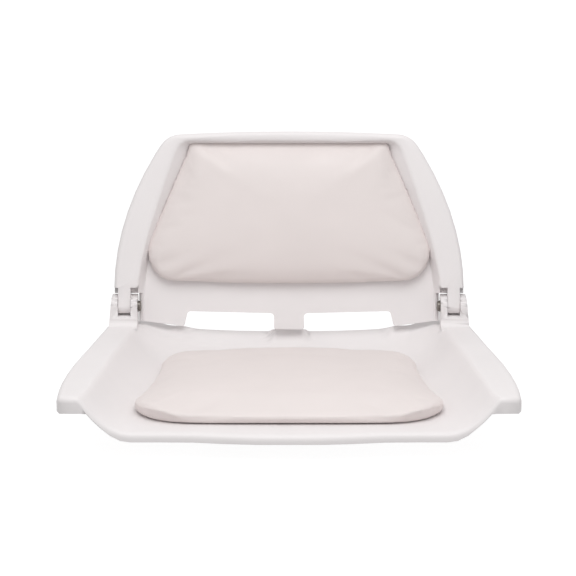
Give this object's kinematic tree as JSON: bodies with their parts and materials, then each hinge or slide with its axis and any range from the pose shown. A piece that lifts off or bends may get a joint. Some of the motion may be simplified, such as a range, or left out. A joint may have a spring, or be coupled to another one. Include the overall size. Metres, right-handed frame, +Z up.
{
  "type": "folding boat seat",
  "caption": "Low-back moulded boat seat with flat side wings, vinyl pads and a hinged backrest that folds down over the seat.",
  "frame": {"origin": "centre of the underside of the seat's mounting platform, midway between its four bolt holes", "axes": "+X to the right of someone facing the front of the seat; +Y from the front lip towards the backrest; +Z up"},
  "size_m": [0.5086, 0.4285, 0.3049],
  "materials": {
    "shell_plastic": "off-white moulded plastic, satin with a fine grain",
    "vinyl": "cream marine vinyl, smooth and slightly glossy",
    "foam": "open-cell cushion foam",
    "plywood": "plain marine plywood",
    "steel": "stainless steel fasteners",
    "nylon": "natural nylon"
  },
  "bodies": {
    "seat": {"hinge_bolt_left": "steel", "hinge_bolt_right": "steel", "hinge_nut_left": "steel", "hinge_nut_right": "steel", "hinge_washer_left": "steel", "hinge_washer_right": "steel", "mount_tee_nut_1": "steel", "mount_tee_nut_2": "steel", "mount_tee_nut_3": "steel", "mount_tee_nut_4": "steel", "seat_cushion_board": "plywood", "seat_cushion_cover": "vinyl", "seat_cushion_foam": "foam", "seat_cushion_screw_1": "steel", "seat_cushion_screw_2": "steel", "seat_cushion_screw_3": "steel", "seat_cushion_screw_4": "steel", "seat_cushion_washer_1": "steel", "seat_cushion_washer_2": "steel", "seat_cushion_washer_3": "steel", "seat_cushion_washer_4": "steel", "seat_shell": "shell_plastic"},
    "backrest": {"back_cushion_board": "plywood", "back_cushion_cover": "vinyl", "back_cushion_foam": "foam", "back_cushion_screw_1": "steel", "back_cushion_screw_2": "steel", "back_cushion_screw_3": "steel", "back_cushion_screw_4": "steel", "back_cushion_washer_1": "steel", "back_cushion_washer_2": "steel", "back_cushion_washer_3": "steel", "back_cushion_washer_4": "steel", "backrest_shell": "shell_plastic", "hinge_bush_left": "nylon", "hinge_bush_right": "nylon"}
  },
  "joints": [
    {"name": "backrest_fold", "type": "hinge", "parent": "seat", "child": "backrest", "pos_m": [0, 0.165, 0.093], "axis": [1, 0, 0], "range_deg": [0, 103]}
  ]
}
